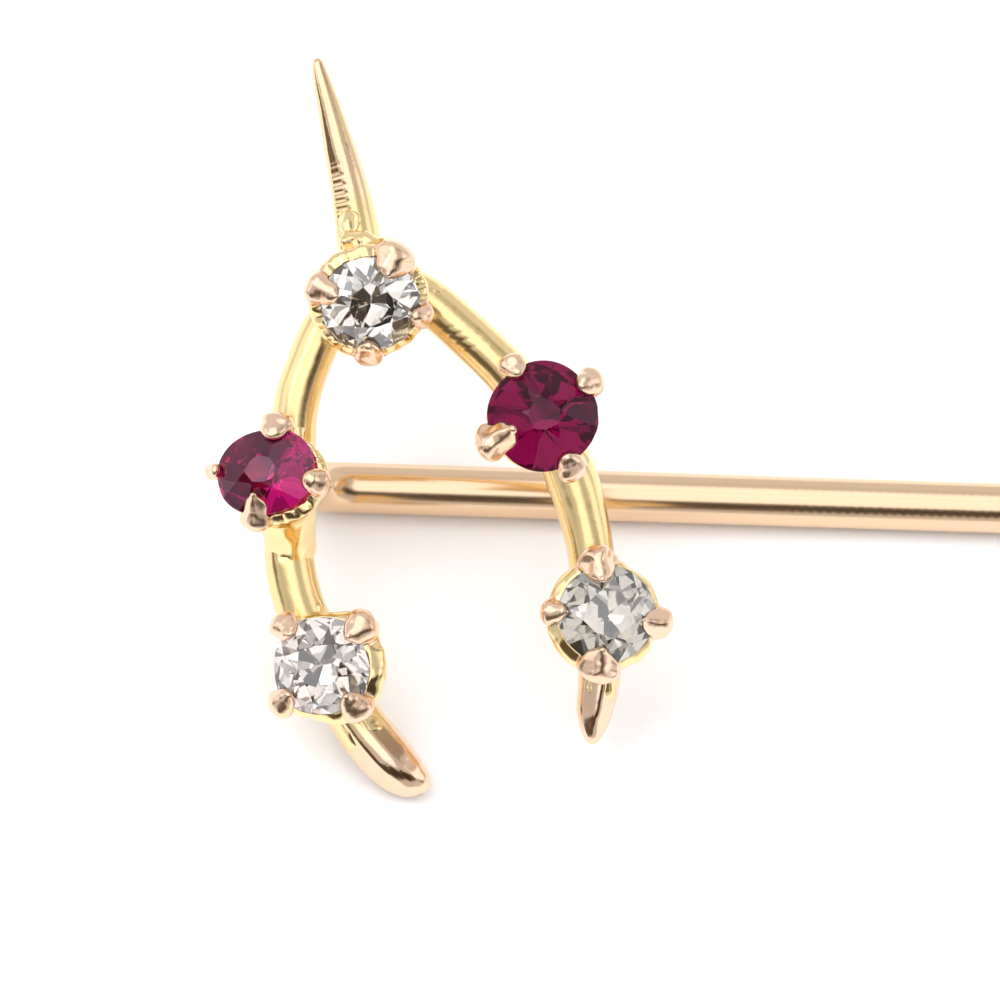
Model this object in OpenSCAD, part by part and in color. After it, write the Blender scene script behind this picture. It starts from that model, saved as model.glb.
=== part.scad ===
// Stick pin with a wishbone head: a forked gold wire with five claw-set stones, soldered to a straight
// stem. It lies on a flat surface at z = 0, on its stem and the end of one leg, as it would by itself. The
// stem runs along +X to its point, and the origin is under the middle of the whole pin.

/* [Wishbone] */
// Thickness of the wishbone's wire
wire_d = 1.15; // [0.9:0.05:1.3]
// From the fork down to the ends of the legs
leg_drop = 11.8; // [11:0.1:13]
// From the head's middle line to the axis of a leg, where the legs are furthest apart
leg_spread = 3.5; // [3.2:0.1:4.2]
// Length of the tail above the fork
tail_len = 5.45; // [4:0.05:7]
// Thickness of the tail where it leaves the fork
tail_d = 1.05; // [0.8:0.05:1.2]
// How far the head leans sideways from square to the stem, in degrees
head_lean = 17; // [5:1:30]

/* [Stem] */
// Thickness of the stem
stem_d = 1.2; // [0.9:0.05:1.3]
// Length of the stem from the leg that it is soldered to, as far as its point
stem_len = 60; // [45:1:75]
// Length of the tapered point
point_len = 9; // [5:0.5:15]
// From the stem's axis forward to the axes of the wishbone's wires
stem_back = 3.1; // [2.6:0.1:4]
// Radius of the stem's bend, at its axis
bend_r = 1.5; // [1.2:0.1:1.8]

/* [Settings] */
// From the axis of the wire up to the widest part of each stone
girdle_h = 1.9; // [1.75:0.05:2.2]
// Gap between a stone and its setting
stone_gap = 0.04; // [0.03:0.01:0.06]
// Thickness of the diamonds' settings round the stone
diamond_wall = 0.22; // [0.16:0.01:0.28]
// Thickness of the rubies' settings round the stone
ruby_wall = 0.13; // [0.1:0.01:0.2]
// How far the rims of the rubies' settings lie below the stones
ruby_overhang = 0.2; // [0.1:0.02:0.26]
// How far a claw stands out from the wall of its setting
claw_out = 0.06; // [0.02:0.01:0.1]
// Height of a claw above the rim of its setting
claw_h = 0.4; // [0.36:0.01:0.5]
// Width of the foot of each setting, where it meets the wire
foot_d = 1.3; // [1.1:0.05:1.6]

/* [Stones] */
// Width of the diamond over the fork
apex_w = 2.3; // [2:0.05:2.5]
// Length of the oval ruby on the left leg
left_ruby_l = 2.4; // [2.2:0.05:2.6]
// Width of the oval ruby on the left leg
left_ruby_w = 2; // [1.9:0.05:2.2]
// Width of the square ruby on the right leg
right_ruby_w = 2.52; // [2.2:0.05:2.6]
// Width of the two lower diamonds
lower_w = 2.26; // [2:0.05:2.5]

/* [Hidden] */

// Sides of the swept wire, and steps between two rows of its table
wire_sides = 16;
wire_steps = 2;
// Half of the angle that a claw takes up on its setting, and steps of the plain wall between two claws
claw_half_angle = 16;
wall_steps = 6;
// How much steeper a stone's halves are than its main crown facets, at most
steepest = 1.25;
// How far the rim follows the pavilion inwards where it lies below the stone, as a share
rim_tuck = 0.6;
// Rounding of a rim's edges
lip = 0.03;
// Thickness of a claw over the stone
claw_t = 0.08;
// Space under a stone
under = 0.1;
// Width of the stem's blunt tip
tip_d = 0.16;
// Thickness of a stone's girdle
girdle_t = 0.05;

// The bow runs from the end of the left leg over the fork to the end of the right leg. The columns are the
// distance to the side as a share of leg_spread, the drop as a share of leg_drop, and the share of wire_d.
BOW = [
    [-0.473, 1.005, 0.12], [-0.484, 0.998, 0.40], [-0.510, 0.987, 0.64], [-0.564, 0.968, 0.88],
    [-0.643, 0.934, 1.06], [-0.723, 0.886, 1.10], [-0.793, 0.836, 1.08], [-0.885, 0.735, 1.06],
    [-0.960, 0.617, 1.04], [-0.968, 0.530, 1.02], [-0.925, 0.450, 0.98], [-0.800, 0.348, 0.94],
    [-0.660, 0.210, 0.93], [-0.490, 0.124, 0.92], [-0.250, 0.044, 0.92], [0.060, 0.006, 0.92],
    [0.330, 0.040, 0.93], [0.550, 0.126, 0.95], [0.775, 0.236, 0.97], [0.950, 0.345, 1.02],
    [1.020, 0.480, 1.06], [1.028, 0.560, 1.00], [1.012, 0.632, 0.95], [0.953, 0.752, 0.90],
    [0.855, 0.868, 0.86], [0.769, 0.931, 0.76], [0.732, 0.958, 0.63], [0.703, 0.982, 0.42],
    [0.690, 0.994, 0.26], [0.684, 1.000, 0.10]
];

// The tail, from inside the fork to its tip: the distance to the side and the rise, both as shares of
// tail_len, and the share of tail_d.
TAIL = [
    [0.004, 0.000, 0.96], [0.024, 0.120, 0.98], [0.041, 0.221, 0.98], [0.049, 0.291, 0.95],
    [0.058, 0.409, 0.87], [0.061, 0.515, 0.80], [0.063, 0.644, 0.68], [0.065, 0.764, 0.56],
    [0.065, 0.885, 0.42], [0.067, 0.970, 0.28], [0.069, 0.992, 0.18], [0.070, 1.000, 0.07]
];

// The settings, in the order of NODES after the mount. SIDE and DROP place the foot on the wire, as in
// BOW. The setting leans by LEAN degrees towards the direction TOWARDS, and its stone is turned by TURN.
SIDE = 0;
DROP = 1;
LEAN = 2;
TOWARDS = 3;
TURN = 4;
SETTINGS = [
    [0.000, 0.004, 14, 285, -15],
    [-0.800, 0.348, 20, 135, -7],
    [0.893, 0.357, 7, 35, 26],
    [-0.830, 0.716, 9, 160, -15],
    [0.945, 0.756, 7, 0, 30]
];

// The claws of each setting: the direction of a claw, and how far in its tip reaches as a share of the stone
ANGLE = 0;
REACH = 1;
CLAWS = [
    [[47, 0.76], [148, 0.74], [253, 0.84], [331, 0.92]],
    [[60, 0.78], [163, 0.98], [242, 0.60], [332, 0.86]],
    [[21, 0.84], [105, 0.90], [190, 0.64], [284, 0.88]],
    [[29, 0.76], [119, 0.84], [206, 0.84], [296, 0.80]],
    [[85, 0.72], [162, 0.90], [247, 0.74], [335, 0.80]]
];

// The stones: length, width, wall of the setting round them, how far below them its rim lies, roundness of
// the girdle (2 is an ellipse), width of the table as a share of the stone, height of the star tips as a
// share of the crown, slopes of the main crown and pavilion facets, turn of the facets against the girdle,
// and a seed for the irregular hand cutting.
LENGTH = 0;
WIDTH = 1;
WALL = 2;
DROP_BELOW = 3;
ROUND = 4;
TABLE = 5;
STAR = 6;
CROWN = 7;
PAVILION = 8;
FACETS = 9;
SEED = 10;
STONES = [
    [apex_w, apex_w * 0.96, diamond_wall, 0, 2.1, 0.48, 0.62, 34, 40, 10, 1],
    [left_ruby_l, left_ruby_w, ruby_wall, ruby_overhang, 2.2, 0.32, 0.72, 30, 38, 0, 2],
    [right_ruby_w, right_ruby_w, ruby_wall, ruby_overhang, 2.25, 0.30, 0.74, 27, 38, 13, 3],
    [lower_w, lower_w, diamond_wall, 0.04, 2.4, 0.46, 0.60, 34, 40, 8, 4],
    [lower_w, lower_w, diamond_wall, 0.02, 2.15, 0.50, 0.62, 33, 40, 15, 5]
];

// The outside of a setting's wall, from its foot up. Each row has how far out it is, from 0 at the foot to 1
// at the outside of the rim, and its height as a share of girdle_h.
OUTSIDE = [[0.00, 0.06], [0.02, 0.22], [0.40, 0.38], [0.80, 0.58], [1.03, 0.80]];

function lerp(a, b, t) = a + (b - a) * t;

// A smooth curve through the rows of a table, with some steps between each two
function spline(p0, p1, p2, p3, t) =
    0.5 * (2 * p1 + (p2 - p0) * t + (2 * p0 - 5 * p1 + 4 * p2 - p3) * t * t
    + (3 * p1 - p0 - 3 * p2 + p3) * t * t * t);
function smooth_rows(rows, steps) =
    let (last = len(rows) - 1)
    [for (i = [0:last - 1], s = [0:steps - 1])
        spline(rows[max(i - 1, 0)], rows[i], rows[i + 1], rows[min(i + 2, last)], s / steps), rows[last]];

// Rows of [x, y, thickness] of the two wires, in the plane of the head, with the fork at the origin
function bow_rows() =
    smooth_rows([for (r = BOW) [r.x * leg_spread, -r.y * leg_drop, r.z * wire_d]], wire_steps);
function tail_rows() =
    smooth_rows([for (r = TAIL) [r.x * tail_len, r.y * tail_len, r.z * tail_d]], wire_steps);

// Rings of points round a wire that lies in the plane z = 0
function wire_rings(rows) =
    let (last = len(rows) - 1)
    [for (i = [0:last])
        let (
            ahead = rows[min(i + 1, last)] - rows[max(i - 1, 0)],
            across = [-ahead.y, ahead.x, 0] / norm([ahead.x, ahead.y])
        )
        [for (k = [0:wire_sides - 1])
            let (a = 360 * (k + 0.5) / wire_sides)
            [rows[i].x, rows[i].y, 0] + rows[i].z / 2 * (cos(a) * across + [0, 0, sin(a)])]];

function flat_list(lists) = [for (l = lists, p = l) p];

// A closed solid through rings of as many points each
module loft(rings) {
    n = len(rings[0]);
    last = len(rings) - 1;
    polyhedron(
        points = flat_list(rings),
        faces = concat(
            [[for (k = [0:n - 1]) k]],
            [for (i = [0:last - 1], k = [0:n - 1])
                [i * n + k, (i + 1) * n + k, (i + 1) * n + (k + 1) % n]],
            [for (i = [0:last - 1], k = [0:n - 1])
                [i * n + k, (i + 1) * n + (k + 1) % n, i * n + (k + 1) % n]],
            [[for (k = [n - 1:-1:0]) last * n + k]]
        )
    );
}

// The radius of a stone's girdle in a direction, counted from its own length
function girdle_r(stone, a) =
    let (n = stone[ROUND])
    pow(pow(abs(cos(a)) * 2 / stone[LENGTH], n) + pow(abs(sin(a)) * 2 / stone[WIDTH], n), -1 / n);

// Directions of a setting's columns: five to each claw, then equal steps to the next claw
function column_angles(claws) =
    [for (i = [0:len(claws) - 1])
        let (
            next = i + 1 < len(claws) ? claws[i + 1][ANGLE] : claws[0][ANGLE] + 360,
            from = claws[i][ANGLE] + claw_half_angle,
            to = next - claw_half_angle
        )
        each concat(
            [for (s = [-2:1]) claws[i][ANGLE] + s * claw_half_angle / 2],
            [for (s = [0:wall_steps - 1]) lerp(from, to, s / wall_steps)]
        )];

// The nearest claw to a direction: the angle between them, and how far in that claw reaches
function off_claw(claw, a) = abs((a - claw[ANGLE] + 540) % 360 - 180);
function nearest_claw(claws, a) =
    let (offs = [for (c = claws) off_claw(c, a)])
    [for (i = [0:len(claws) - 1]) if (offs[i] == min(offs)) [offs[i], claws[i][REACH]]][0];

// One column of a setting's wall, from its foot over the rim or claw to the middle of its floor. Between
// the claws the rim sinks to DROP_BELOW under the stone, and further in as the pavilion narrows. A claw
// rises outside the girdle and leans over the crown, clear of its steepest facets. Its sides, where c is
// 0, end at the girdle.
function wall_column(i, a) =
    let (
        stone = STONES[i],
        near = nearest_claw(CLAWS[i], a),
        off = near[0] / claw_half_angle,
        c = max(0, 1 - off),
        away = min(1, max(0, off - 1.5)),
        edge = girdle_r(stone, a - SETTINGS[i][TURN]),
        seat = edge + stone_gap,
        below = stone[DROP_BELOW] * away,
        inner = seat - rim_tuck * below / tan(stone[PAVILION]),
        outer = inner + stone[WALL],
        top = girdle_h - girdle_t - below,
        proud = edge + stone[WALL] + claw_out,
        tip = lerp(edge + stone_gap / 4, near[1] * edge, c),
        girdle_top = girdle_h + girdle_t / 2,
        over_tip = girdle_top + stone_gap + steepest * max(0, edge - tip) * tan(stone[CROWN]),
        depth = stone[WIDTH] / 2 * tan(stone[PAVILION]),
        rim = [
            [outer, top - 2 * lip], [outer - lip, top - lip / 3], [lerp(inner, outer, 0.5), top],
            [inner + lip, top - lip / 3], [inner + lip / 3, top - lip],
            [inner, top - 2 * lip], [inner, top - 4 * lip]
        ],
        claw = [
            [proud, girdle_h + claw_t * c], [proud - 2 * lip, girdle_h + 2 * lip + 0.7 * claw_h * c],
            [lerp(seat, tip, 0.4), girdle_h + max(claw_h * c, over_tip - girdle_h) + claw_t],
            [tip, over_tip + claw_t], [tip, over_tip], [seat, girdle_top], [seat, top - 2 * lip]
        ]
    )
    concat(
        [for (r = OUTSIDE) [lerp(foot_d / 2, lerp(outer, proud, c), r.x), r.y * girdle_h]],
        off > 1.01 ? rim : claw,
        [
            [0.55 * edge, girdle_h - under - 0.72 * depth - below / 2],
            [0.4 * edge, girdle_h - 1.7 * under - depth]
        ]
    );

module setting(i) {
    angles = column_angles(CLAWS[i]);
    columns = [for (a = angles) wall_column(i, a)];
    loft([for (k = [0:len(columns[0]) - 1])
        [for (j = [0:len(angles) - 1])
            [columns[j][k].x * cos(angles[j]), columns[j][k].x * sin(angles[j]), columns[j][k].y]]]);
}

// Places what stands on the wire at a setting's foot
module at_setting(i) {
    s = SETTINGS[i];
    translate([s[SIDE] * leg_spread, -s[DROP] * leg_drop, 0])
        rotate([0, 0, s[TOWARDS]]) rotate([0, s[LEAN], 0]) rotate([0, 0, -s[TOWARDS]])
            children();
}

// The foot of the left ruby's setting, where the stem is soldered to the back of the leg
joint = [SETTINGS[1][SIDE] * leg_spread, -SETTINGS[1][DROP] * leg_drop, 0];

// From the plane of the head to the stem's own axis along +X, before the pin rolls to rest
function turned(p, a) = [p.x * cos(a) - p.y * sin(a), p.x * sin(a) + p.y * cos(a), p.z];
function on_stem(p) = turned(p - joint, head_lean) + [0, 0, stem_back];

// The pin rolls on its stem until a leg touches the surface. Each point touches after its own roll, and the
// smallest of these is where the pin comes to rest.
function roll_of(p) = atan2(p.y, p.z) + acos(-stem_d / 2 / norm([p.y, p.z]));
bow_points = [for (p = flat_list(wire_rings(bow_rows()))) on_stem(p)];
tail_points = [for (p = flat_list(wire_rings(tail_rows()))) on_stem(p)];
rest_roll = min([for (p = bow_points) if (p.y < -stem_d) roll_of(p)]);

// The middle of the whole pin, seen from above
function resting_y(p) = p.y * cos(rest_roll) - p.z * sin(rest_roll);
left_cup = on_stem(joint) + [-(left_ruby_l / 2 + ruby_wall + girdle_h * sin(SETTINGS[1][LEAN])), 0, 0];
low_x = min(left_cup.x, min([for (p = bow_points) p.x]));
low_y = min([for (p = bow_points) resting_y(p)]);
high_y = max([for (p = tail_points) resting_y(p)]);
middle = [(low_x + stem_len) / 2, (low_y + high_y) / 2, 0];

module at_rest() {
    translate([0, 0, stem_d / 2] - middle) rotate([rest_roll, 0, 0]) children();
}
module in_head() {
    at_rest() translate([0, 0, stem_back]) rotate([0, 0, head_lean]) translate(-joint) children();
}

// The stem with its tapered point, its bend towards the head and its end on the back of the leg
module stem() {
    straight = stem_len - point_len - bend_r;
    translate([bend_r, 0, 0]) rotate([0, 90, 0]) cylinder(h = straight, d = stem_d, $fn = 48);
    translate([bend_r + straight, 0, 0]) rotate([0, 90, 0])
        cylinder(h = point_len, d1 = stem_d, d2 = tip_d, $fn = 48);
    translate([bend_r, 0, bend_r]) rotate([90, 0, 0]) rotate([0, 0, 180])
        rotate_extrude(angle = 90, $fn = 96) translate([bend_r, 0]) circle(d = stem_d, $fn = 48);
    translate([0, 0, bend_r]) cylinder(h = stem_back - bend_r - wire_d * 0.2, d = stem_d, $fn = 48);
}

module gold_mount() {
    color("gold") union() {
        at_rest() stem();
        in_head() loft(wire_rings(bow_rows()));
        in_head() loft(wire_rings(tail_rows()));
        for (i = [0:len(SETTINGS) - 1])
            in_head() at_setting(i) setting(i);
    }
}

// Where two facets meet at one level: each faces a direction, and its plane is at a distance from the axis
// there
function corner(a1, r1, a2, r2) =
    [(r1 * sin(a2) - r2 * sin(a1)) / sin(a2 - a1), (r2 * cos(a1) - r1 * cos(a2)) / sin(a2 - a1)];

// A cushion-cut stone about its own middle, with its table up. Eight main facets slope from the girdle to
// the table, and eight to the culet. Stars lie round the table, and halves lie along the girdle between
// the mains.
module cut_stone(stone) {
    function wander(k) = sin(k * 137 + stone[SEED] * 71);
    function facing(k) = 45 * k + stone[FACETS] + 3 * (wander(k % 8) - wander(8));
    function between(k) = (facing(k) + facing(k + 1)) / 2;
    function ring_r(k) = girdle_r(stone, facing(k));
    function table_r(k) = stone[TABLE] * ring_r(k) * (1 + 0.08 * wander(k % 8 + 11));
    // Distance of a main facet's plane from the axis, between the girdle at 0 and its inner end at 1
    function main_r(k, inner, share) = lerp(ring_r(k), inner, share);
    // The corner between main facets k and k + 1, at a share of the way from the girdle to their inner ends
    function main_corner(k, r1, r2, share) =
        corner(facing(k), main_r(k, r1, share), facing(k + 1), main_r(k + 1, r2, share));
    half_t = girdle_t / 2;
    crown_h = (1 - stone[TABLE]) * stone[WIDTH] / 2 * tan(stone[CROWN]);
    culet_r = 0.07 * stone[WIDTH];
    depth = (stone[WIDTH] / 2 - culet_r) * tan(stone[PAVILION]);
    lower_share = 0.22;
    table = [for (k = [0:7]) [table_r(k) * cos(facing(k)), table_r(k) * sin(facing(k)), half_t + crown_h]];
    stars = [for (k = [0:7])
        let (share = stone[STAR] * (1 + 0.06 * wander(k + 21)))
        [each main_corner(k, table_r(k), table_r(k + 1), share), half_t + crown_h * share]];
    girdle = [for (k = [0:7], a = [facing(k), between(k)]) girdle_r(stone, a) * [cos(a), sin(a)]];
    lower = [for (k = [0:7])
        let (share = lower_share * (1 + 0.2 * wander(k + 31)))
        [each main_corner(k, culet_r, culet_r, share), -half_t - depth * share]];
    culet = [for (k = [0:7]) [each main_corner(k, culet_r, culet_r, 1), -half_t - depth]];
    // Numbers of the first point of each ring: table, stars, girdle above, girdle below, lower halves, culet
    s = 8;
    u = 16;
    d = 32;
    l = 48;
    c = 56;
    polyhedron(
        points = concat(
            table, stars,
            [for (g = girdle) [g.x, g.y, half_t]], [for (g = girdle) [g.x, g.y, -half_t]],
            lower, culet
        ),
        faces = concat(
            [[for (k = [7:-1:0]) k]],
            [for (k = [0:7]) [k, (k + 1) % 8, s + k]],
            [for (k = [0:7]) [k, s + k, u + 2 * k, s + (k + 7) % 8]],
            [for (k = [0:7]) [s + k, u + 2 * k + 1, u + 2 * k]],
            [for (k = [0:7]) [s + k, u + (2 * k + 2) % 16, u + 2 * k + 1]],
            [for (k = [0:15]) [u + k, u + (k + 1) % 16, d + (k + 1) % 16, d + k]],
            [for (k = [0:7]) [l + k, d + 2 * k, d + 2 * k + 1]],
            [for (k = [0:7]) [l + k, d + 2 * k + 1, d + (2 * k + 2) % 16]],
            [for (k = [0:7]) [d + 2 * k, l + k, c + k, c + (k + 7) % 8, l + (k + 7) % 8]],
            [[for (k = [0:7]) c + k]]
        )
    );
}

module set_stone(i) {
    in_head() at_setting(i)
        translate([0, 0, girdle_h]) rotate([0, 0, SETTINGS[i][TURN]]) cut_stone(STONES[i]);
}

module apex_diamond() { color("white") set_stone(0); }
module left_ruby() { color("crimson") set_stone(1); }
module right_ruby() { color("crimson") set_stone(2); }
module lower_left_diamond() { color("white") set_stone(3); }
module lower_right_diamond() { color("white") set_stone(4); }

gold_mount();
apex_diamond();
left_ruby();
right_ruby();
lower_left_diamond();
lower_right_diamond();
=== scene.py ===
"""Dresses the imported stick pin: fine swept gold, carved settings, cut stones, floor, light and camera."""

import math

import bmesh
import bpy
import numpy as np
import openvdb as vdb
from mathutils import Matrix, Vector, noise


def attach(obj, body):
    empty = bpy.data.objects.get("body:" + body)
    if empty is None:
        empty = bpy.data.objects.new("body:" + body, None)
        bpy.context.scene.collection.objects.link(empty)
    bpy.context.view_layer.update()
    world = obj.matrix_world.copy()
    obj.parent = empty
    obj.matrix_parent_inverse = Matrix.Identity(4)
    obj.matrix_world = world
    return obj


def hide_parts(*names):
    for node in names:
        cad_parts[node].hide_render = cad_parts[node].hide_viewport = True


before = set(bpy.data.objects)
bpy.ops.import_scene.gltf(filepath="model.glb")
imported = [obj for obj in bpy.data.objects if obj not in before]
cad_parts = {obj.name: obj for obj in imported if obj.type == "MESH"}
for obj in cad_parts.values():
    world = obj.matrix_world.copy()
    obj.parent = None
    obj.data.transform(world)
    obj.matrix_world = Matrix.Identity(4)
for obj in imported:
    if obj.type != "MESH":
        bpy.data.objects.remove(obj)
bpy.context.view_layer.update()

MM = 0.001

# ---- sizes of the pin, in millimetres, as in its source ----
WIRE_D = 1.15
LEG_DROP = 11.8
LEG_SPREAD = 3.5
TAIL_LEN = 5.45
TAIL_D = 1.05
HEAD_LEAN = 17
STEM_D = 1.2
STEM_LEN = 60
POINT_LEN = 9
STEM_BACK = 3.1
BEND_R = 1.5
TIP_D = 0.16
GIRDLE_H = 1.9
GIRDLE_T = 0.05
FOOT_D = 1.3
# Where the left ruby's foot is in the row's frame, and how far the pin rolls on its stem to rest
JOINT = Vector((-29.0101, -1.27057, 3.39667))
ROLL = 25.5578
MIDDLE = Vector((29.0101, -0.0668, 0))

# The bow: to the side, drop, thickness. The tail: to the side, rise, thickness.
BOW = [
    (-0.473, 1.005, 0.12), (-0.484, 0.998, 0.40), (-0.510, 0.987, 0.64), (-0.564, 0.968, 0.88),
    (-0.643, 0.934, 1.06), (-0.723, 0.886, 1.10), (-0.793, 0.836, 1.08), (-0.885, 0.735, 1.06),
    (-0.960, 0.617, 1.04), (-0.968, 0.530, 1.02), (-0.925, 0.450, 0.98), (-0.800, 0.348, 0.94),
    (-0.660, 0.210, 0.93), (-0.490, 0.124, 0.92), (-0.250, 0.044, 0.92), (0.060, 0.006, 0.92),
    (0.330, 0.040, 0.93), (0.550, 0.126, 0.95), (0.775, 0.236, 0.97), (0.950, 0.345, 1.02),
    (1.020, 0.480, 1.06), (1.028, 0.560, 1.00), (1.012, 0.632, 0.95), (0.953, 0.752, 0.90),
    (0.855, 0.868, 0.86), (0.769, 0.931, 0.76), (0.732, 0.958, 0.63), (0.703, 0.982, 0.42),
    (0.690, 0.994, 0.26), (0.684, 1.000, 0.10),
]
TAIL = [
    (0.004, 0.000, 0.96), (0.024, 0.120, 0.98), (0.041, 0.221, 0.98), (0.049, 0.291, 0.95),
    (0.058, 0.409, 0.87), (0.061, 0.515, 0.80), (0.063, 0.644, 0.68), (0.065, 0.764, 0.56),
    (0.065, 0.885, 0.42), (0.067, 0.970, 0.28), (0.069, 0.992, 0.18), (0.070, 1.000, 0.07),
]

# ---- the settings ----
# Lengths are in millimetres and directions in degrees, anticlockwise from the head's right.
# place: where it stands, as shares of the spread and of the drop. lean, towards: how far it leans, and which way.
# turn, stone: the stone's turn, and its length, width and roundness.
# rim: the wall's thickness, and how far its top lies below the girdle.
# color, glare: the tint of the light that passes through the stone, and of the light off its surface.
# cuts: how many marks the graver left round the rim, and their depth.
# claws: (direction, reach, half width, height of its crest over the girdle, sharpness of its ridge).
# lumps: solder, as round bars (end, end, radius, radius).
# fuller, soft: the side to which the cup bulges and by how much, and how rounded its rim is.
SETTINGS = {
    "apex_diamond": dict(
        place=(0.000, 0.004), lean=14, towards=285, turn=-15, stone=(2.3, 2.208, 2.1), rim=(0.24, -0.02),
        color=(0.93, 0.88, 0.81), cuts=(26, 0.022),
        claws=[(47, 0.69, 0.47, 0.34, 0.8), (148, 0.70, 0.36, 0.30, 0.5), (253, 0.80, 0.30, 0.26, 0.5),
               (331, 0.90, 0.26, 0.28, 0.8)],
        lumps=[((-0.10, 1.35, 0.75), (0.28, 1.32, 0.95), 0.20, 0.16),
               ((0.02, 1.62, 0.45), (0.10, 1.75, 0.30), 0.22, 0.2),
               ((0.34, 1.30, 1.05), (0.52, 1.22, 1.15), 0.15, 0.12)]),
    "left_ruby": dict(
        place=(-0.800, 0.348), lean=20, towards=135, turn=-7, stone=(2.4, 2.0, 2.2), rim=(0.18, 0.2),
        color=(0.46, 0.004, 0.13), glare=(0.85, 0.58, 0.74), cuts=(21, 0.05),
        claws=[(63, 0.76, 0.36, 0.30, 0.6), (163, 0.98, 0.13, 0.16, 0), (242, 0.58, 0.32, 0.30, 0.9),
               (332, 0.90, 0.30, 0.28, 0.3)],
        lumps=[((-0.02, -0.38, 0.80), (-0.42, -1.28, -0.2), 0.80, 0.56)], fuller=(295, 0.24), soft=0.1),
    "right_ruby": dict(
        place=(0.893, 0.357), lean=7, towards=35, turn=26, stone=(2.52, 2.52, 2.25), rim=(0.13, 0.2),
        color=(0.19, 0.0015, 0.043), glare=(0.65, 0.32, 0.45), cuts=(7, 0.02),
        claws=[(21, 0.84, 0.30, 0.28, 0), (105, 0.86, 0.30, 0.24, 0.4), (192, 0.60, 0.42, 0.36, 1.0),
               (284, 0.84, 0.32, 0.26, 0.5)]),
    "lower_left_diamond": dict(
        place=(-0.830, 0.716), lean=9, towards=160, turn=-15, stone=(2.26, 2.26, 2.4), rim=(0.21, 0.04),
        color=(0.87, 0.78, 0.71), cuts=(0, 0), fuller=(-32, 0.15), soft=0.2,
        claws=[(29, 0.76, 0.40, 0.28, 0), (119, 0.80, 0.32, 0.26, 0), (206, 0.80, 0.32, 0.26, 0),
               (296, 0.76, 0.36, 0.28, 0)]),
    "lower_right_diamond": dict(
        place=(0.945, 0.756), lean=7, towards=0, turn=30, stone=(2.26, 2.26, 2.15), rim=(0.21, 0.02),
        color=(0.56, 0.51, 0.43), cuts=(11, 0.014), fuller=(215, 0.09), soft=0.12,
        claws=[(85, 0.66, 0.44, 0.30, 0.9), (162, 0.86, 0.28, 0.22, 0.3), (247, 0.70, 0.46, 0.26, 0.6),
               (335, 0.70, 0.37, 0.27, 0.9)]),
}
# The outside of a setting's wall: how far out from the foot to the rim, and the height as a share of GIRDLE_H.
# CUP_SLOPE turns the way across to the wall into the distance from it.
OUTSIDE = [(0.00, 0.00), (0.02, 0.20), (0.36, 0.36), (0.78, 0.58), (1.00, 0.80), (1.02, 1.10)]
CUP_SLOPE = 0.78
# How far the gold stays off the stones
STONE_GAP = 0.02
SOFT_RIM = 0.08
STONES = {
    "diamond": dict(Transmission_Weight=0.98, IOR=2.42),
    "ruby": dict(Transmission_Weight=0.93, IOR=1.77),
}


def rot(axis, degrees):
    return Matrix.Rotation(math.radians(degrees), 4, axis)


def foot_of(s):
    """Where a setting stands in the head's plane."""
    return Vector((s["place"][0] * LEG_SPREAD, -s["place"][1] * LEG_DROP, 0))


def at_setting(s):
    return Matrix.Translation(foot_of(s)) @ rot("Z", s["towards"]) @ rot("Y", s["lean"]) @ rot("Z", -s["towards"])


IN_STEM = Matrix.Translation(Vector((0, 0, STEM_D / 2)) - MIDDLE) @ rot("X", ROLL)
IN_HEAD = (Matrix.Translation(JOINT) @ rot("X", ROLL) @ rot("Z", HEAD_LEAN)
           @ Matrix.Translation(-foot_of(SETTINGS["left_ruby"])))


def apply(matrix, points):
    m = np.array(matrix)
    return points @ m[:3, :3].T + m[:3, 3]


def smooth_rows(rows, steps):
    """The rows joined by a smooth curve through them, with so many steps from each to the next."""
    rows = np.array(rows, float)
    last = len(rows) - 1
    out = []
    for i in range(last):
        p0, p1, p2, p3 = rows[max(i - 1, 0)], rows[i], rows[i + 1], rows[min(i + 2, last)]
        for t in np.arange(steps) / steps:
            out.append(0.5 * (2 * p1 + (p2 - p0) * t + (2 * p0 - 5 * p1 + 4 * p2 - p3) * t * t
                              + (3 * p1 - p0 - 3 * p2 + p3) * t ** 3))
    out.append(rows[last])
    return np.array(out)


def smoothstep(low, high, x):
    t = np.clip((x - low) / (high - low), 0, 1)
    return t * t * (3 - 2 * t)


def new_mesh(name, points, faces, rose=None, material=None):
    """A mesh from points in millimetres in the row's frame, with smooth faces and a tint for each point."""
    mesh = bpy.data.meshes.new(name)
    mesh.from_pydata((points * MM).tolist(), [], faces)
    mesh.polygons.foreach_set("use_smooth", [True] * len(mesh.polygons))
    tint = mesh.attributes.new("rose", "FLOAT", "POINT")
    tint.data.foreach_set("value", np.zeros(len(points)) if rose is None else rose.astype(float))
    mesh.update()
    obj = bpy.data.objects.new(name, mesh)
    bpy.context.scene.collection.objects.link(obj)
    mesh.materials.append(material)
    return obj


def tube_faces(n_rings, sides):
    """The faces of a tube of rings, closed at both ends."""
    faces = [tuple(range(sides))[::-1], tuple((n_rings - 1) * sides + k for k in range(sides))]
    for i in range(n_rings - 1):
        a, b = i * sides, (i + 1) * sides
        for k in range(sides):
            k1 = (k + 1) % sides
            faces.append((a + k, a + k1, b + k1, b + k))
    return faces


# ---- materials ----
def principled(name, color, roughness, metallic=0.0, **more):
    mat = bpy.data.materials.new(name)
    mat.use_nodes = True
    node = mat.node_tree.nodes["Principled BSDF"]
    node.inputs["Base Color"].default_value = (*color, 1)
    node.inputs["Roughness"].default_value = roughness
    node.inputs["Metallic"].default_value = metallic
    for key, value in more.items():
        node.inputs[key.replace("_", " ")].default_value = value
    return mat, node


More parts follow.
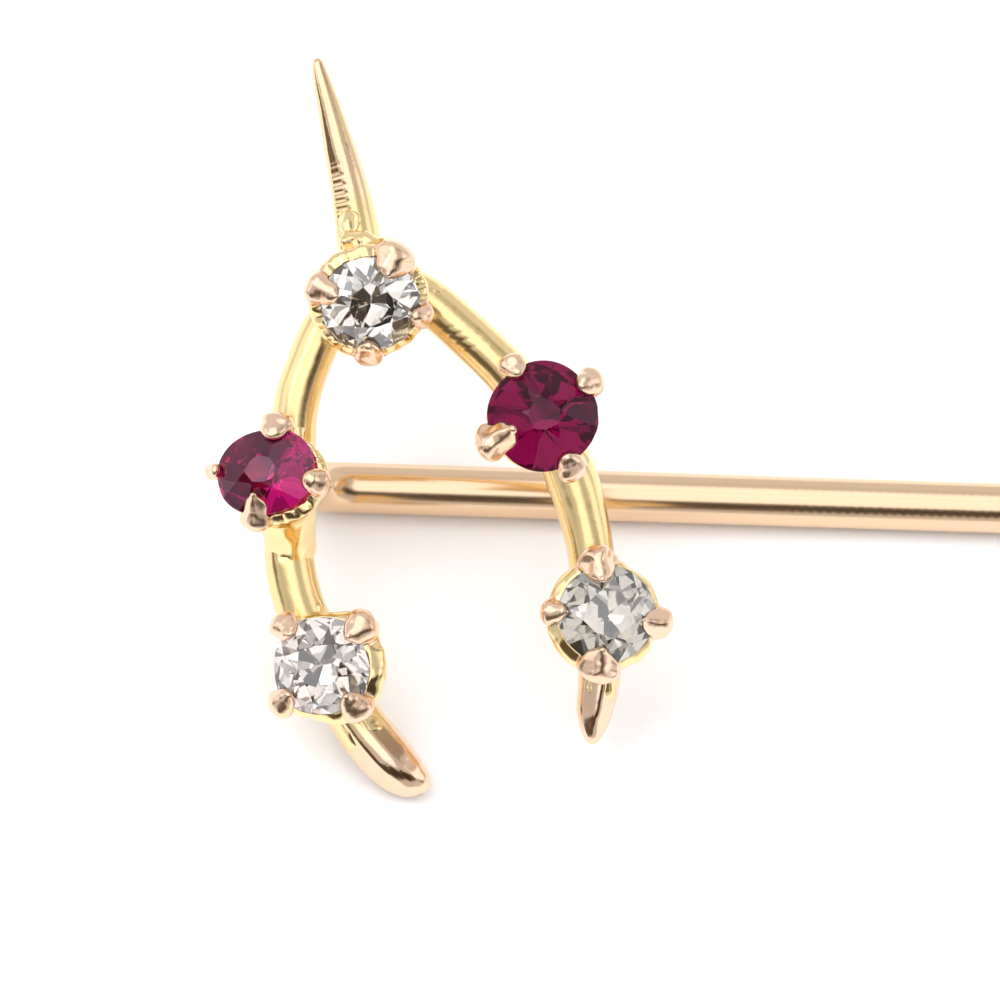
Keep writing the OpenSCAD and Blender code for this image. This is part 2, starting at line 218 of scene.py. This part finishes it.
# The fine dents: how much smaller than the soft ones, and how deep beside them
FINER, FINE_SHARE = 9, 0.12


def gold_material(name, color, rosy, roughness, rosy_roughness, bump, scale):
    """Polished, worn gold: where the tint says so it is rosier, and it has fine dents over soft ones."""
    mat, bsdf = principled(name, color, roughness, 1.0)
    nodes, links = mat.node_tree.nodes, mat.node_tree.links
    coords = nodes.new("ShaderNodeTexCoord")
    tint = nodes.new("ShaderNodeAttribute")
    tint.attribute_name = "rose"
    mix = nodes.new("ShaderNodeMix")
    mix.data_type = "RGBA"
    mix.inputs[6].default_value = (*color, 1)
    mix.inputs[7].default_value = (*rosy, 1)
    links.new(tint.outputs["Fac"], mix.inputs[0])
    links.new(mix.outputs[2], bsdf.inputs["Base Color"])
    polish = nodes.new("ShaderNodeMapRange")
    polish.inputs["To Min"].default_value = roughness
    polish.inputs["To Max"].default_value = rosy_roughness
    links.new(tint.outputs["Fac"], polish.inputs["Value"])
    links.new(polish.outputs["Result"], bsdf.inputs["Roughness"])
    dents = nodes.new("ShaderNodeTexNoise")
    dents.inputs["Scale"].default_value = scale
    dents.inputs["Detail"].default_value = 3
    links.new(coords.outputs["Object"], dents.inputs["Vector"])
    fine = nodes.new("ShaderNodeTexNoise")
    fine.inputs["Scale"].default_value = scale * FINER
    fine.inputs["Detail"].default_value = 4
    links.new(coords.outputs["Object"], fine.inputs["Vector"])
    total = nodes.new("ShaderNodeMath")
    total.operation = "MULTIPLY_ADD"
    total.inputs[1].default_value = FINE_SHARE
    links.new(fine.outputs["Fac"], total.inputs[0])
    links.new(dents.outputs["Fac"], total.inputs[2])
    bumps = nodes.new("ShaderNodeBump")
    bumps.inputs["Strength"].default_value = 1.0
    bumps.inputs["Distance"].default_value = bump
    links.new(total.outputs[0], bumps.inputs["Height"])
    links.new(bumps.outputs["Normal"], bsdf.inputs["Normal"])
    return mat


ROSY = (0.90, 0.64, 0.46)
GOLD = gold_material("yellow_gold", (0.92, 0.70, 0.35), ROSY, 0.21, 0.12, 0.000009, 2200)
CUP_GOLD = gold_material("setting_gold", (0.93, 0.72, 0.38), ROSY, 0.15, 0.22, 0.000005, 3000)
STEM_GOLD = gold_material("stem_gold", (0.82, 0.59, 0.39), ROSY, 0.2, 0.2, 0.000003, 1500)


# ---- the wire ----
WIRE_SIDES = 56
BOW_STEPS, TAIL_STEPS = 96, 34
# Away from the notches the bow keeps one ring in so many
SPARSE = 6
WOBBLE = 0.02


def wire(rows, steps, dent, rose, fine=None):
    """A wire swept along rows of (x, y, thickness) in the head's plane. dent(x, y, angle, radius) cuts into it, and
    only where fine(x, y) is true does it keep all its rings."""
    rows = smooth_rows(rows, steps)
    if fine is not None:
        x, y = rows[:, 0], rows[:, 1]
        rows = rows[fine(x, y) | (np.arange(len(rows)) % SPARSE == 0)]
    ahead = np.gradient(rows[:, :2], axis=0)
    ahead /= np.linalg.norm(ahead, axis=1, keepdims=True)
    angles = 2 * np.pi * (np.arange(WIRE_SIDES) + 0.5) / WIRE_SIDES
    x = rows[:, 0, None] + 0 * angles
    y = rows[:, 1, None] + 0 * angles
    radius = rows[:, 2, None] / 2 + 0 * angles
    radius = dent(x, y, angles[None, :], radius)
    px = x - ahead[:, 1, None] * radius * np.cos(angles)
    py = y + ahead[:, 0, None] * radius * np.cos(angles)
    pz = radius * np.sin(angles)
    points = np.stack([px, py, pz], axis=-1).reshape(-1, 3)
    centres = np.repeat(np.stack([rows[:, 0], rows[:, 1], 0 * rows[:, 0]], axis=-1), WIRE_SIDES, axis=0)
    drift = np.array([noise.noise(Vector(p) * 1.1) + 0.25 * noise.noise(Vector(p) * 3.1) for p in points])
    out = points - centres
    points = centres + out * (1 + WOBBLE * drift)[:, None]
    return points, tube_faces(len(rows), WIRE_SIDES), rose(points)


# Notches across the right upper leg: x, width, depth. They lie above NOTCH_LOW and slant by NOTCH_SLANT.
NOTCHES = [(1.93, 0.018, 0.006), (2.05, 0.018, 0.008), (2.17, 0.022, 0.008), (2.31, 0.018, 0.006)]
NOTCH_LOW, NOTCH_SLANT = -3.2, 0.20
# Pits in the front of the left leg: x, y, size, depth. They face PIT_FACING, and are PIT_WIDTH wide, in radians.
PITS = [
    (-1.66, -0.95, 0.060, 0.010), (-2.05, -2.15, 0.07, 0.012), (-3.28, -6.4, 0.06, 0.008),
    (-3.30, -5.64, 0.13, 0.035),
]
PIT_FACING, PIT_WIDTH = 1.3, 0.16
# Flats filed on the ends of the legs, -1 left and 1 right: leg, the y where it begins and where it is full,
# the angle that it faces, its depth. They stop short of the tip.
END_FLATS = [
    (-1, -9.0, -10.0, 122, 0.06), (-1, -9.0, -10.0, 38, 0.11),
    (1, -9.6, -10.4, 114, 0.08), (1, -9.6, -10.4, 46, 0.13),
]
# The tail's flat and the marks like a ladder across it
TAIL_FLAT_FACING = 55
RUNG_FACING, RUNG_PITCH, RUNG_DEPTH = 0.96, 0.24, 0.022


def notched(x, y):
    return (x > 1.75) & (x < 2.5) & (y > NOTCH_LOW)


def filed_flat(angle, radius, facing, depth):
    """A flat along the wire that faces the given angle; depth is its share of the radius."""
    toward = np.maximum(np.cos(angle - facing), 0.01)
    return np.minimum(radius, radius * (1 - depth) / toward)


def bow_dent(x, y, angle, radius):
    """Flats filed on both ends, fine slanting notches on the right upper leg, small pits."""
    tip = smoothstep(-11.8, -11.3, y)
    for leg, begins, full, facing, depth in END_FLATS:
        end = smoothstep(begins, full, y) * tip * (x * leg > 0)
        radius = filed_flat(angle, radius, math.radians(facing), depth * end)
    front = smoothstep(0.7, 0.9, np.sin(angle)) * smoothstep(0.4, 0.15, np.cos(angle))
    cut = 0
    for place, width, depth in NOTCHES:
        along = (x - NOTCH_SLANT * np.cos(angle) - place) / width
        cut = cut + depth * np.exp(-along * along) * front * (y > NOTCH_LOW)
    for at_x, at_y, size, depth in PITS:
        far = ((x - at_x) ** 2 + (y - at_y) ** 2) / size ** 2 + ((angle - PIT_FACING) / PIT_WIDTH) ** 2
        cut = cut + depth * np.exp(-far)
    return radius - cut


def bow_rose(points):
    """The ends of the legs are rosier than the rest."""
    return smoothstep(-9.2, -10.9, points[:, 1])


def tail_dent(x, y, angle, radius):
    """A flat up the left of the tail's front, with file marks like a ladder across it."""
    depth = (0.03 + 0.06 * smoothstep(3.6, 1.6, y)) * smoothstep(0.5, 1.0, y) * smoothstep(4.6, 3.2, y)
    radius = filed_flat(angle, radius, math.radians(TAIL_FLAT_FACING), depth)
    band = smoothstep(0.9, 1.3, y) * smoothstep(3.3, 2.4, y) * smoothstep(0.86, 0.94, np.cos(angle - RUNG_FACING))
    rungs = 0.5 + 0.5 * np.sin(2 * np.pi * y / RUNG_PITCH + 1.9 * np.sin(3.1 * y))
    return radius - RUNG_DEPTH * band * rungs ** 2


def tail_rose(points):
    """Above the solder at its root, the tail is rosier too."""
    return 0.6 * smoothstep(1.5, 2.5, points[:, 1])


bow_rows = [(x * LEG_SPREAD, -y * LEG_DROP, t * WIRE_D) for x, y, t in BOW]
tail_rows = [(x * TAIL_LEN, y * TAIL_LEN, t * TAIL_D) for x, y, t in TAIL]

points, faces, tint = wire(bow_rows, BOW_STEPS, bow_dent, bow_rose, notched)
wishbone = new_mesh("wishbone", apply(IN_HEAD, points), faces, tint, GOLD)
points, faces, tint = wire(tail_rows, TAIL_STEPS, tail_dent, tail_rose)
tail = new_mesh("tail_spike", apply(IN_HEAD, points), faces, tint, GOLD)


# ---- the stem ----
STEM_SIDES = 64
# The faint ripple, and how far apart the rings are that show it
RIB_START, RIB_END, RIB_PITCH, RIB_DEPTH = 11.7, 24.5, 0.22, 0.0018
RIB_RINGS = 0.027


def stem_path():
    """Rows of (x, z, direction x, direction z, radius) from the leg round the bend to the point."""
    rows = []
    riser = STEM_BACK - BEND_R - WIRE_D * 0.2
    for t in np.linspace(0, 1, 12):
        rows.append((0, BEND_R + riser * (1 - t), 0, -1, STEM_D / 2))
    for t in np.linspace(0, 1, 32)[1:]:
        a = t * math.pi / 2
        rows.append((BEND_R * (1 - math.cos(a)), BEND_R * (1 - math.sin(a)), math.sin(a), -math.cos(a), STEM_D / 2))
    cone = STEM_LEN - POINT_LEN
    stops = [BEND_R + (RIB_START - 0.3 - BEND_R) * t for t in np.linspace(0, 1, 16)[1:]]
    stops += list(np.arange(RIB_START - 0.27, RIB_END + 0.3, RIB_RINGS))
    stops += list(np.linspace(RIB_END + 0.5, cone, 40))
    stops += list(np.linspace(cone, STEM_LEN, 30)[1:])
    for x in stops:
        taper = min(1, max(0, (x - cone) / POINT_LEN))
        rows.append((x, 0, 1, 0, (STEM_D * (1 - taper) + TIP_D * taper) / 2))
    return np.array(rows)


def stem_points():
    """The stem's points and faces in its own frame."""
    rows = stem_path()
    angles = 2 * np.pi * np.arange(STEM_SIDES) / STEM_SIDES
    x, z, dx, dz, r = (rows[:, i, None] for i in range(5))
    band = smoothstep(RIB_START - 0.25, RIB_START + 0.1, x) * smoothstep(RIB_END + 0.25, RIB_END - 0.1, x) * (dx > 0.99)
    rib = 0.5 + 0.5 * np.cos(2 * np.pi * (x - RIB_START) / RIB_PITCH + angles[None, :])
    r = r - RIB_DEPTH * band * rib
    px = x - dz * r * np.cos(angles)
    pz = z + dx * r * np.cos(angles)
    py = r * np.sin(angles) * np.ones_like(x)
    return np.stack([px, py, pz], axis=-1).reshape(-1, 3), tube_faces(len(rows), STEM_SIDES)


points, faces = stem_points()
stem = new_mesh("stem", apply(IN_STEM, points), faces, None, STEM_GOLD)


# ---- the settings, carved as distance fields ----
VOXEL = 0.031
# How many voxels the first, coarse look spans, and the box that it looks at
COARSE = 4
BOX_LOW = (-2.0, -2.0, -0.75)
BOX_HIGH = (2.0, 2.0, GIRDLE_H + 0.75)
# How softly pieces run into each other
WIRE_BLEND, LUMP_BLEND, CLAW_BLEND = 0.34, 0.2, 0.07
KNEE_BLEND, TIP_BLEND, RIDGE_BLEND = 0.13, 0.12, 0.035
# A claw is so many times wider than it is thick, and ends in a point of this radius
CLAW_WIDE, CLAW_POINT = 1.3, 0.07
# How far round a setting its wire reaches, and how far it lies inside the swept one that shows
REACH_OF_WIRE, SUNK = 1.75, 0.02
# Facets: how far each is off true, and how far apart the two are into which those under a diamond are cut
OFF_TRUE, SPLIT = 0.014, 0.05
OUTLINE_SIDES = 96
STONE_SEED, METAL_SEED = 70, 40


def smin(a, b, k):
    """The lesser of two distances, with a soft crossing of width k."""
    h = np.clip(0.5 + 0.5 * (b - a) / k, 0, 1)
    return b * (1 - h) + a * h - k * h * (1 - h)


def smax(a, b, k):
    return -smin(-a, -b, k)


def cone_field(p, a, b, ra, rb):
    """Distance to a round bar from a to b whose radius goes from ra to rb."""
    a, b = np.array(a, float), np.array(b, float)
    ab = b - a
    t = np.clip(((p - a) @ ab) / (ab @ ab), 0, 1)
    gap = p - a - t[..., None] * ab
    return np.sqrt((gap * gap).sum(-1)) - (ra + (rb - ra) * t)


def edge_radius(stone, angle):
    """How far a stone's outline is from its middle in the direction of the angle."""
    length, width, n = stone
    return (np.abs(np.cos(angle) * 2 / length) ** n + np.abs(np.sin(angle) * 2 / width) ** n) ** (-1 / n)


def stone_planes(name, to_local, seed):
    """The facets of a stone as planes in its setting's frame, each a little off true as in hand-cut stones:
    (normals, offsets). The girdle and the culet are left out."""
    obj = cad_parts[name]
    m = np.array(to_local)
    world = np.array(obj.matrix_world)
    rng = np.random.default_rng(seed)
    found = {}
    for poly in obj.data.polygons:
        if poly.area < 1e-12:
            continue
        n = m[:3, :3] @ (world[:3, :3] @ np.array(poly.normal))
        n /= np.linalg.norm(n)
        if abs(n[2]) < 0.1 or n[2] < -0.98:
            continue
        c = m[:3, :3] @ ((world[:3, :3] @ np.array(poly.center) + world[:3, 3]) / MM) + m[:3, 3]
        found.setdefault((*np.round(n, 2), round(float(n @ c), 2)), []).append((poly.area, n, c))
    normals, offsets = [], []
    for _, parts in sorted(found.items()):
        weights = np.array([area for area, _, _ in parts])
        n = sum(area * n for area, n, _ in parts)
        c = sum(area * c for area, _, c in parts) / weights.sum()
        n /= np.linalg.norm(n)
        if n[2] < 0.98:
            n = n + rng.normal(size=3) * OFF_TRUE
            n /= np.linalg.norm(n)
        normals.append(n)
        offsets.append(n @ c)
        if "diamond" in name and n[2] < 0:
            # the facets under a diamond are each cut in two
            n = n + rng.normal(size=3) * SPLIT
            n /= np.linalg.norm(n)
            normals.append(n)
            offsets.append(n @ c)
    return np.array(normals), np.array(offsets)


def cut_stone(name, s, to_world, normals, offsets, material):
    """The stone: a block with its rounded outline, cut by each of its facets in turn."""
    bm = bmesh.new()
    rings = []
    for z in (-1.0, GIRDLE_H + 1.5):
        ring = []
        for angle in 2 * np.pi * np.arange(OUTLINE_SIDES) / OUTLINE_SIDES:
            r = edge_radius(s["stone"], angle - math.radians(s["turn"]))
            ring.append(bm.verts.new((r * math.cos(angle), r * math.sin(angle), z)))
        rings.append(ring)
    bm.faces.new(rings[0][::-1])
    bm.faces.new(rings[1])
    for k in range(OUTLINE_SIDES):
        k1 = (k + 1) % OUTLINE_SIDES
        bm.faces.new((rings[0][k], rings[0][k1], rings[1][k1], rings[1][k]))
    for n, d in zip(normals, offsets):
        geom = bm.verts[:] + bm.edges[:] + bm.faces[:]
        cut = bmesh.ops.bisect_plane(bm, geom=geom, dist=1e-5, plane_co=n * d, plane_no=n, clear_outer=True)
        edges = [e for e in cut["geom_cut"] if isinstance(e, bmesh.types.BMEdge)]
        if edges:
            bmesh.ops.contextual_create(bm, geom=edges)
    bmesh.ops.recalc_face_normals(bm, faces=bm.faces[:])
    bm.transform(Matrix.Scale(MM, 4) @ to_world)
    mesh = bpy.data.meshes.new(name + "_cut")
    bm.to_mesh(mesh)
    bm.free()
    obj = bpy.data.objects.new(name + "_cut", mesh)
    bpy.context.scene.collection.objects.link(obj)
    mesh.materials.append(material)
    return obj


def setting_field(name, s, p):
    """The gold of one setting at points p in its own frame, and the field of its claws alone."""
    x, y, z = p[..., 0], p[..., 1], p[..., 2]
    r = np.sqrt(x * x + y * y)
    angle = np.arctan2(y, x)
    turned = angle - math.radians(s["turn"])
    edge = edge_radius(s["stone"], turned)
    wall, below = s["rim"]
    fuller_to, fuller_by = s.get("fuller", (0, 0))
    outer = edge + wall - max(below, 0) * 0.8 + fuller_by * np.cos(angle - math.radians(fuller_to))
    share = np.interp(z / GIRDLE_H, [h for _, h in OUTSIDE], [o for o, _ in OUTSIDE])
    side = FOOT_D / 2 + (outer - FOOT_D / 2) * share
    cup = (r - side) * CUP_SLOPE
    # the rim slopes down outwards, marked by the graver
    count, depth = s["cuts"]
    cut = depth * (0.5 + 0.5 * np.cos(count * angle + 0.8 * np.sin(3 * angle))) ** 2
    top = GIRDLE_H - GIRDLE_T - below - 0.55 * np.clip(r - edge, 0, 0.5) - cut
    cup = smax(cup, 0.85 * (z - top), s.get("soft", SOFT_RIM))
    cup = smax(cup, -z, 0.1)
    # the wire under the setting, so that the cup runs softly into it
    to_local = at_setting(s).inverted()
    gold = cup
    for rows in (bow_rows, tail_rows):
        line = smooth_rows(rows, 3)
        centre = apply(to_local, np.stack([line[:, 0], line[:, 1], 0 * line[:, 0]], axis=-1))
        near = np.linalg.norm(centre, axis=1) < REACH_OF_WIRE
        stub = None
        for i in range(len(line) - 1):
            if near[i] and near[i + 1]:
                bar = cone_field(p, centre[i], centre[i + 1], line[i, 2] / 2 - SUNK, line[i + 1, 2] / 2 - SUNK)
                stub = bar if stub is None else np.minimum(stub, bar)
        if stub is not None:
            gold = smin(gold, stub, WIRE_BLEND)
    for a, b, ra, rb in s.get("lumps", []):
        gold = smin(gold, cone_field(p, a, b, ra, rb), LUMP_BLEND)
    claws = None
    for direction, reach, half, crest_h, ridge in s["claws"]:
        a = math.radians(direction)
        e = float(edge_radius(s["stone"], a - math.radians(s["turn"])))
        # in the claw's own frame: out from the axis, across, up
        across = (y * math.cos(a) - x * math.sin(a)) / CLAW_WIDE
        q = np.stack([x * math.cos(a) + y * math.sin(a), across, z], axis=-1)
        h = half / CLAW_WIDE
        foot = (e + wall * 0.5 - max(below, 0) * 0.6, 0, GIRDLE_H * 0.62)
        knee = (e + 0.16 - 0.4 * (h - 0.2), 0, GIRDLE_H - 0.04)
        crest = (e * (0.4 + 0.6 * reach) + 0.05, 0, GIRDLE_H + crest_h - 0.5 * h)
        tip = (e * reach + 0.05, 0, GIRDLE_H + 0.12 + 0.75 * (1 - reach) * e)
        claw = cone_field(q, foot, knee, h * 0.9, h)
        claw = smin(claw, cone_field(q, knee, crest, h, h * 0.72), KNEE_BLEND)
        claw = smin(claw, cone_field(q, crest, tip, h * 0.72, CLAW_POINT), TIP_BLEND)
        if ridge:
            # two flats meet in a ridge along the claw's back
            rise = GIRDLE_H + crest_h + 0.62 * h - 0.35 * np.clip(q[..., 0] - crest[0], -0.3, 0.3)
            flats = (z - rise + (0.25 + 0.75 * ridge) * np.abs(q[..., 1]) * CLAW_WIDE) * 0.75
            claw = smax(claw, flats, RIDGE_BLEND)
        claws = claw if claws is None else np.minimum(claws, claw)
    gold = smin(gold, claws, CLAW_BLEND)
    return gold, claws


def hand_made(p, seed):
    """Soft unevenness of hand-finished metal, from a few waves in set directions."""
    rng = np.random.default_rng(seed)
    total = 0
    for size, height in ((1.1, 0.010), (0.6, 0.007), (0.33, 0.004)):
        for _ in range(3):
            k = rng.normal(size=3)
            k *= 2 * np.pi / size / np.linalg.norm(k)
            total = total + height * np.sin(p @ k + rng.uniform(0, 2 * np.pi))
    return total


def carve(index, name):
    """A setting and its stone. Works out the setting's field on a coarse grid, then finely near the surface alone,
    and meshes it."""
    s = SETTINGS[name]
    to_world = IN_HEAD @ at_setting(s)
    normals, offsets = stone_planes(name, to_world.inverted(), STONE_SEED + index)

    def gold_at(p):
        gold, claws = setting_field(name, s, p)
        gold = gold + hand_made(p, METAL_SEED + index)
        angle = np.arctan2(p[..., 1], p[..., 0]) - math.radians(s["turn"])
        stone = np.hypot(p[..., 0], p[..., 1]) - edge_radius(s["stone"], angle)
        for n, d in zip(normals, offsets):
            np.maximum(stone, p @ n - d, out=stone)
        return np.maximum(gold, STONE_GAP - stone), claws

    low = np.array(BOX_LOW)
    block = COARSE * VOXEL
    count = np.ceil((np.array(BOX_HIGH) - low) / block).astype(int)
    steps = (low[i] + block * np.arange(count[i]) for i in range(3))
    coarse = np.stack(np.meshgrid(*steps, indexing="ij"), axis=-1)
    field = gold_at(coarse)[0]
    near = np.abs(field) < 2.1 * block
    for axis in range(3):
        field = np.repeat(field, COARSE, axis=axis)
        near = np.repeat(near, COARSE, axis=axis)
    at = np.argwhere(near)
    field[near] = gold_at(low + VOXEL * at)[0]
    grid = vdb.FloatGrid()
    grid.background = block
    grid.copyFromArray(np.clip(field, -block, block))
    points, quads = grid.convertToQuads(isovalue=0.0)
    points = low + VOXEL * np.array(points, float)
    claws = setting_field(name, s, points)[1]
    rose = smoothstep(0.10, 0.0, claws) * smoothstep(GIRDLE_H - 0.5, GIRDLE_H, points[:, 2])
    kind = name.split("_")[-1]
    glare = (*s.get("glare", (1, 1, 1)), 1)
    stone_mat, _ = principled(name, s["color"], 0.0, Specular_Tint=glare, **STONES[kind])
    stone = cut_stone(name, s, to_world, normals, offsets, stone_mat)
    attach(stone, "root")
    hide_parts(name)
    return new_mesh(name.replace("diamond", "setting").replace("ruby", "ruby_setting"),
                    apply(to_world, points), np.array(quads)[:, ::-1].tolist(), rose, CUP_GOLD)


settings = [carve(i, name) for i, name in enumerate(SETTINGS)]

for piece in (wishbone, tail, stem, *settings):
    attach(piece, "root")
    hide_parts("gold_mount")

# ---- floor, light and camera ----
bpy.ops.mesh.primitive_plane_add(size=1.2, location=(0, 0, -0.00001))
floor = bpy.context.object
floor.name = "floor"
floor_mat, _ = principled("floor", (0.93, 0.93, 0.94), 0.9)
floor.data.materials.append(floor_mat)


# In metres; both lamps point at the head
LAMP_POWER, LAMP_SIZE = 0.5, 0.30
LAMPS = {"left_box": (-0.20, 0.05, 0.30), "right_box": (0.16, -0.06, 0.30)}
LAMP_TARGET = Vector((-0.020, 0, 0.0))


def area_light(name, at):
    """A lamp that lights the floor alone: the gold and the stones mirror the studio round them."""
    data = bpy.data.lights.new(name, "AREA")
    data.shape = "RECTANGLE"
    data.size, data.size_y = LAMP_SIZE, LAMP_SIZE
    data.energy = LAMP_POWER
    light = bpy.data.objects.new(name, data)
    light.location = at
    light.rotation_euler = (LAMP_TARGET - Vector(at)).to_track_quat("-Z", "Y").to_euler()
    bpy.context.scene.collection.objects.link(light)
    light.visible_glossy = False
    light.visible_transmission = False


for name, at in LAMPS.items():
    area_light(name, at)

# The camera: its direction, the size of a pixel at the head and its distance in millimetres. The picture's middle
# lies JOINT_LEFT pixels to the right of the joint and JOINT_UP below it.
AZIMUTH, ELEVATION, PIXEL, FAR = math.radians(2), math.radians(64.5), 0.0235, 250
JOINT_LEFT, JOINT_UP = 207, 14
PICTURE = 1000
SENSOR = 36
right = Vector((math.cos(AZIMUTH), math.sin(AZIMUTH), 0))
back = Vector((math.sin(AZIMUTH) * math.cos(ELEVATION), -math.cos(AZIMUTH) * math.cos(ELEVATION), math.sin(ELEVATION)))
up = back.cross(right)
aim = JOINT + right * JOINT_LEFT * PIXEL - up * JOINT_UP * PIXEL
camera_data = bpy.data.cameras.new("camera")
camera_data.sensor_width = SENSOR
camera_data.lens = SENSOR * FAR / (PICTURE * PIXEL)
camera_data.clip_start = 0.01
camera = bpy.data.objects.new("camera", camera_data)
camera.matrix_world = Matrix.Translation((aim + back * FAR) * MM) @ Matrix((right, up, back)).transposed().to_4x4()
bpy.context.scene.collection.objects.link(camera)
bpy.context.scene.camera = camera
bpy.context.scene.view_settings.view_transform = "Standard"

# ---- the studio that the gold mirrors ----
# Each is (degrees to the right of the camera's direction, degrees up, half width, soft edge, light).
STUDIO_ROOM = (0, 0, 50, 24, 0.75)
STUDIO_BOXES = [
    (-2, 9, 17, 14, 1.75), (-8, 36, 20, 10, 1.8), (-24, 14, 12, 10, 1.7), (-36, 19, 7, 5, 3.2),
    (-64, 22, 14, 8, 1.5), (66, 12, 11, 8, 1.5),
]
STUDIO_GAPS = [
    (4, -27, 12, 7, 0.07), (-12, -38, 13, 8, 0.1), (-37, -37, 15, 9, 0.13), (27, -20, 12, 7, 0.06),
    (42, -12, 12, 7, 0.16), (-76, -8, 9, 7, 0.14), (70, -12, 8, 6, 0.35), (46, 38, 9, 6, 0.42),
]
# The tent's light near the floor, what stands for no gap, and the strength of the whole
TENT_LIGHT, NO_GAP, STUDIO_LIGHT = 0.95, 9, 0.88


def studio():
    """A bright tent, darker round the camera, with boxes of light in it and the dark gaps of a room."""
    world = bpy.data.worlds.new("studio")
    world.use_nodes = True
    tree = world.node_tree
    nodes, links = tree.nodes, tree.links
    coords = nodes.new("ShaderNodeTexCoord").outputs["Generated"]

    def math_node(operation, *values):
        node = nodes.new("ShaderNodeMath")
        node.operation = operation
        for i, v in enumerate(values):
            if isinstance(v, (int, float)):
                node.inputs[i].default_value = v
            else:
                links.new(v, node.inputs[i])
        return node.outputs[0]

    def toward(direction):
        node = nodes.new("ShaderNodeVectorMath")
        node.operation = "DOT_PRODUCT"
        node.inputs[1].default_value = direction.normalized()
        links.new(coords, node.inputs[0])
        return node.outputs["Value"]

    def ramp(value, low, high, to_low=0.0, to_high=1.0):
        node = nodes.new("ShaderNodeMapRange")
        node.interpolation_type = "SMOOTHSTEP"
        for key, v in (("From Min", low), ("From Max", high), ("To Min", to_low), ("To Max", to_high)):
            node.inputs[key].default_value = v
        links.new(value, node.inputs["Value"])
        return node.outputs["Result"]

    def patch(right_by, up_by, half, soft, inside, outside):
        tilt = math.radians(math.hypot(right_by, up_by))
        around = math.atan2(up_by, right_by)
        side = right * math.cos(around) + up * math.sin(around)
        value = toward(back * math.cos(tilt) + side * math.sin(tilt))
        return ramp(value, math.cos(math.radians(half + soft)), math.cos(math.radians(half)), outside, inside)

    light = patch(*STUDIO_ROOM, TENT_LIGHT)
    for box in STUDIO_BOXES:
        light = math_node("MAXIMUM", light, patch(*box, 0))
    for gap in STUDIO_GAPS:
        light = math_node("MINIMUM", light, patch(*gap, NO_GAP))
    clutter = nodes.new("ShaderNodeTexNoise")
    clutter.inputs["Scale"].default_value = 5
    clutter.inputs["Detail"].default_value = 2
    links.new(coords, clutter.inputs["Vector"])
    light = math_node("MULTIPLY", light, ramp(clutter.outputs["Fac"], 0.35, 0.62, 0.92, 1.06))
    light = math_node("MULTIPLY", light, STUDIO_LIGHT)
    links.new(light, nodes["Background"].inputs["Strength"])
    # what is dark in it is brown
    warm = nodes.new("ShaderNodeMix")
    warm.data_type = "RGBA"
    warm.inputs[6].default_value = (1.0, 0.74, 0.50, 1)
    warm.inputs[7].default_value = (0.98, 0.98, 1.0, 1)
    links.new(ramp(light, 0.05, 0.75), warm.inputs[0])
    links.new(warm.outputs[2], nodes["Background"].inputs["Color"])
    return world


bpy.context.scene.world = studio()
